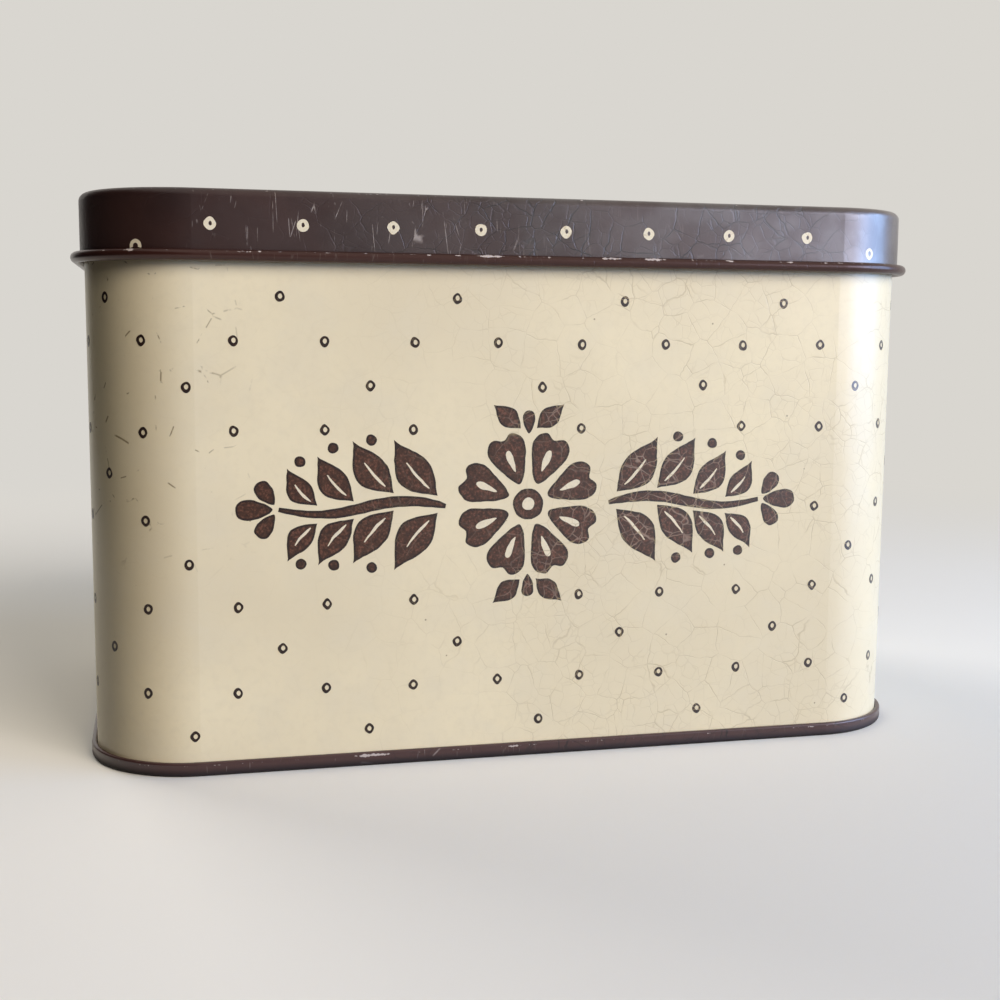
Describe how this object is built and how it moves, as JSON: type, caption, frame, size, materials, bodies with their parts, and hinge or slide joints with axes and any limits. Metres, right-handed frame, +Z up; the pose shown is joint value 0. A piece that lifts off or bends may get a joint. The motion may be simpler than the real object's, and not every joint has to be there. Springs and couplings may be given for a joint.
{
  "type": "recipe card box",
  "caption": "Hinged tinplate box with rounded corners for index cards, with a brown slip-over lid, cream printed walls, tabbed dividers and blank cards.",
  "frame": {"origin": "middle of the closed box's footprint, on the plane that it stands on", "axes": "+X to the right along the long side, +Y to the back where the hinge is, +Z up"},
  "size_m": [0.1406, 0.0938, 0.0889],
  "materials": {
    "cream_tinplate": "lithographed cream enamel under clear varnish, crazed with age, bare tin inside",
    "brown_tinplate": "lithographed dark brown enamel under gloss varnish, worn on its edges",
    "bare_tinplate": "dull tin coating",
    "guide_board": "smooth index board",
    "card_stock": "uncoated card"
  },
  "bodies": {
    "tin": {"body_wall": "cream_tinplate", "bottom": "brown_tinplate", "hinge_strap_left": "bare_tinplate", "hinge_strap_right": "bare_tinplate"},
    "lid": {"lid": "brown_tinplate"},
    "guide_1": {"divider_1": "guide_board", "cards_1": "card_stock"},
    "guide_2": {"divider_2": "guide_board", "cards_2": "card_stock"},
    "guide_3": {"divider_3": "guide_board", "cards_3": "card_stock"},
    "guide_4": {"divider_4": "guide_board", "cards_4": "card_stock"},
    "guide_5": {"divider_5": "guide_board", "cards_5": "card_stock"},
    "guide_6": {"divider_6": "guide_board", "cards_6": "card_stock"}
  },
  "joints": [
    {"name": "lid_hinge", "type": "hinge", "parent": "tin", "child": "lid", "pos_m": [0, 0.04565, 0.0791], "axis": [-1, 0, 0], "range_deg": [0, 110]},
    {"name": "browse_1", "type": "hinge", "parent": "tin", "child": "guide_1", "pos_m": [0, 0.02683, 0.00365], "axis": [1, 0, 0], "range_deg": [0, 6.67]},
    {"name": "browse_2", "type": "hinge", "parent": "tin", "child": "guide_2", "pos_m": [0, 0.0242, 0.00365], "axis": [1, 0, 0], "range_deg": [0, 13.33]},
    {"name": "browse_3", "type": "hinge", "parent": "tin", "child": "guide_3", "pos_m": [0, 0.02157, 0.00365], "axis": [1, 0, 0], "range_deg": [0, 20]},
    {"name": "browse_4", "type": "hinge", "parent": "tin", "child": "guide_4", "pos_m": [0, 0.01894, 0.00365], "axis": [1, 0, 0], "range_deg": [0, 26.67]},
    {"name": "browse_5", "type": "hinge", "parent": "tin", "child": "guide_5", "pos_m": [0, 0.01632, 0.00365], "axis": [1, 0, 0], "range_deg": [0, 33.33]},
    {"name": "browse", "type": "hinge", "parent": "tin", "child": "guide_6", "pos_m": [0, 0.01369, 0.00365], "axis": [1, 0, 0], "range_deg": [0, 40]}
  ],
  "couplings": [
    {"joint": "browse_1", "follows": "browse", "ratio": 0.16667},
    {"joint": "browse_2", "follows": "browse", "ratio": 0.33333},
    {"joint": "browse_3", "follows": "browse", "ratio": 0.5},
    {"joint": "browse_4", "follows": "browse", "ratio": 0.66667},
    {"joint": "browse_5", "follows": "browse", "ratio": 0.83333}
  ]
}
